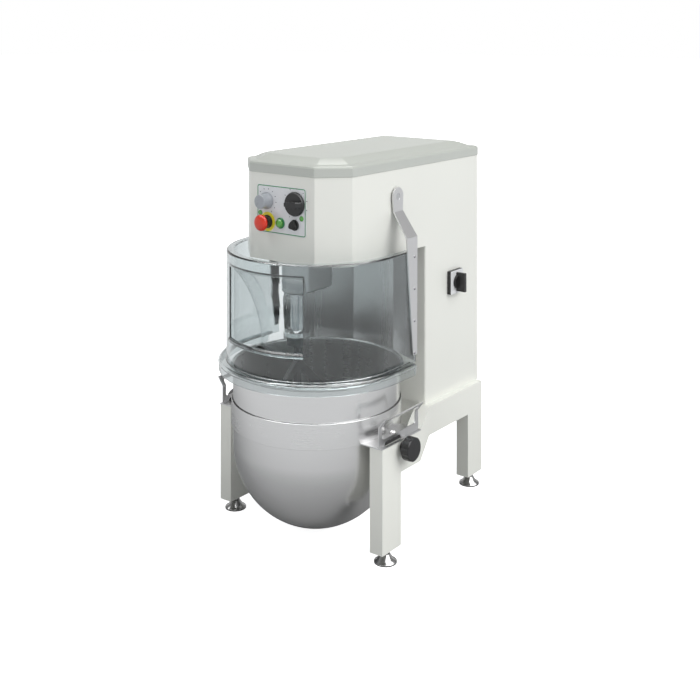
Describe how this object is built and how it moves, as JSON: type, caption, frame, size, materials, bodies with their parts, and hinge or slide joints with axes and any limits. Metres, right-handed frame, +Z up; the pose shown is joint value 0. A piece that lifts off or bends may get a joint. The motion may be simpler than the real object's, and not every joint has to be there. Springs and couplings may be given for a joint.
{
  "type": "planetary stand mixer",
  "caption": "Floor-standing planetary mixer with a fixed steel bowl, a swing-up clear guard with a filling chute, and a welded stand on levelling feet.",
  "frame": {"origin": "on the floor, at the middle of the machine's footprint box", "axes": "+Z up, +X to the right seen from the front, +Y to the back; the bowl's axis is 144.5 mm ahead of the origin"},
  "size_m": [0.602, 0.7949, 0.968],
  "materials": {
    "body_paint": "satin cream enamel",
    "lid_paint": "satin enamel",
    "stand_paint": "satin cream enamel",
    "bowl_steel": "spun and brushed stainless",
    "sheet_steel": "brushed stainless sheet",
    "polished_steel": "polished",
    "machined_steel": "turned and ground",
    "cast_alloy": "sand-cast, satin",
    "cast_iron": "painted casting",
    "clear_guard": "clear moulded plastic",
    "black_plastic": "matt black",
    "grey_plastic": "satin grey",
    "red_plastic": "gloss red",
    "yellow_plastic": "yellow",
    "green_plastic": "translucent green",
    "panel_laminate": "satin laminate",
    "rubber": "matt",
    "belt_rubber": "matt",
    "switch_face": "satin silver"
  },
  "bodies": {
    "frame": {"housing_shell": "body_paint", "rear_cover": "body_paint", "top_lid": "lid_paint", "front_legs": "stand_paint", "rear_legs": "stand_paint", "side_beam_left": "stand_paint", "side_beam_right": "stand_paint", "cross_beams": "stand_paint", "splash_shield": "sheet_steel", "cover_screws": "sheet_steel", "levelling_feet": "polished_steel", "foot_nuts": "polished_steel", "locating_studs": "polished_steel", "ring_gear": "machined_steel", "main_bearings": "machined_steel", "bearing_plate": "machined_steel", "bearing_housing": "cast_iron", "drive_motor": "cast_iron", "motor_plate": "cast_iron", "estop_collar": "black_plastic", "button_bezels": "black_plastic", "main_switch_body": "black_plastic", "control_blocks": "black_plastic", "cable_gland": "black_plastic", "pivot_bushes": "black_plastic", "inverter_box": "grey_plastic", "estop_disc": "yellow_plastic", "indicator_lamps": "green_plastic", "control_panel": "panel_laminate", "drive_belt": "belt_rubber", "main_switch_plate": "switch_face"},
    "planet_drive": {"planet_carrier": "cast_alloy", "main_shaft": "machined_steel", "main_pulley": "cast_alloy", "tool_bearings": "machined_steel"},
    "tool": {"planet_pinion": "machined_steel", "tool_shaft": "machined_steel", "flat_beater": "cast_alloy"},
    "collar": {"locking_collar": "polished_steel"},
    "motor_rotor": {"motor_pulley": "cast_alloy", "motor_shaft": "machined_steel"},
    "guard": {"guard_shell": "clear_guard", "guard_chute": "clear_guard", "guard_arm_left": "sheet_steel", "guard_arm_right": "sheet_steel", "guard_rivets": "sheet_steel", "pivot_shaft": "polished_steel"},
    "bowl": {"mixing_bowl": "bowl_steel", "bowl_band": "bowl_steel", "bowl_bracket_left": "bowl_steel", "bowl_bracket_right": "bowl_steel", "bracket_pads": "rubber"},
    "clamp_left": {"clamp_knob_left": "black_plastic"},
    "clamp_right": {"clamp_knob_right": "black_plastic"},
    "speed_control": {"speed_knob": "grey_plastic"},
    "timer_control": {"timer_knob": "black_plastic"},
    "emergency_stop": {"estop_button": "red_plastic"},
    "start": {"start_button": "green_plastic"},
    "jog": {"jog_button": "black_plastic"},
    "main_switch": {"main_switch_handle": "black_plastic"}
  },
  "joints": [
    {"name": "planet_turn", "type": "hinge", "parent": "frame", "child": "planet_drive", "pos_m": [0, -0.1445, 0.7], "axis": [0, 0, 1], "continuous": true},
    {"name": "tool_spin", "type": "hinge", "parent": "planet_drive", "child": "tool", "pos_m": [0, -0.2205, 0.65], "axis": [0, 0, 1], "continuous": true},
    {"name": "collar_lift", "type": "slide", "parent": "tool", "child": "collar", "axis": [0, 0, 1], "range_m": [0, 0.008], "stiffness_N_per_m": 400, "springref_m": -0.01},
    {"name": "motor_turn", "type": "hinge", "parent": "frame", "child": "motor_rotor", "pos_m": [0, 0.2395, 0.89], "axis": [0, 0, 1], "continuous": true},
    {"name": "guard_swing", "type": "hinge", "parent": "frame", "child": "guard", "pos_m": [0, -0.0345, 0.858], "axis": [-1, 0, 0], "range_deg": [0, 90]},
    {"name": "bowl_lift", "type": "slide", "parent": "frame", "child": "bowl", "axis": [0, 0, 1], "range_m": [0, 0.004]},
    {"name": "clamp_left_turn", "type": "hinge", "parent": "frame", "child": "clamp_left", "pos_m": [-0.28, -0.1395, 0.269], "axis": [-1, 0, 0], "range_deg": [0, 180]},
    {"name": "clamp_right_turn", "type": "hinge", "parent": "frame", "child": "clamp_right", "pos_m": [0.28, -0.1395, 0.269], "axis": [1, 0, 0], "range_deg": [0, 180]},
    {"name": "speed_turn", "type": "hinge", "parent": "frame", "child": "speed_control", "pos_m": [-0.047, -0.2841, 0.857], "axis": [0, 1, 0], "range_deg": [0, 270]},
    {"name": "timer_turn", "type": "hinge", "parent": "frame", "child": "timer_control", "pos_m": [0.046, -0.2841, 0.857], "axis": [0, 1, 0], "range_deg": [0, 300]},
    {"name": "estop_press", "type": "slide", "parent": "frame", "child": "emergency_stop", "axis": [0, 1, 0], "range_m": [0, 0.005]},
    {"name": "start_press", "type": "slide", "parent": "frame", "child": "start", "axis": [0, 1, 0], "range_m": [0, 0.003], "stiffness_N_per_m": 300, "springref_m": -0.002},
    {"name": "jog_press", "type": "slide", "parent": "frame", "child": "jog", "axis": [0, 1, 0], "range_m": [0, 0.003], "stiffness_N_per_m": 300, "springref_m": -0.002},
    {"name": "main_switch_turn", "type": "hinge", "parent": "frame", "child": "main_switch", "pos_m": [0.19, 0.2435, 0.589], "axis": [1, 0, 0], "range_deg": [0, 90]}
  ],
  "couplings": [
    {"joint": "tool_spin", "follows": "planet_turn", "ratio": -3},
    {"joint": "motor_turn", "follows": "planet_turn", "ratio": 3}
  ]
}
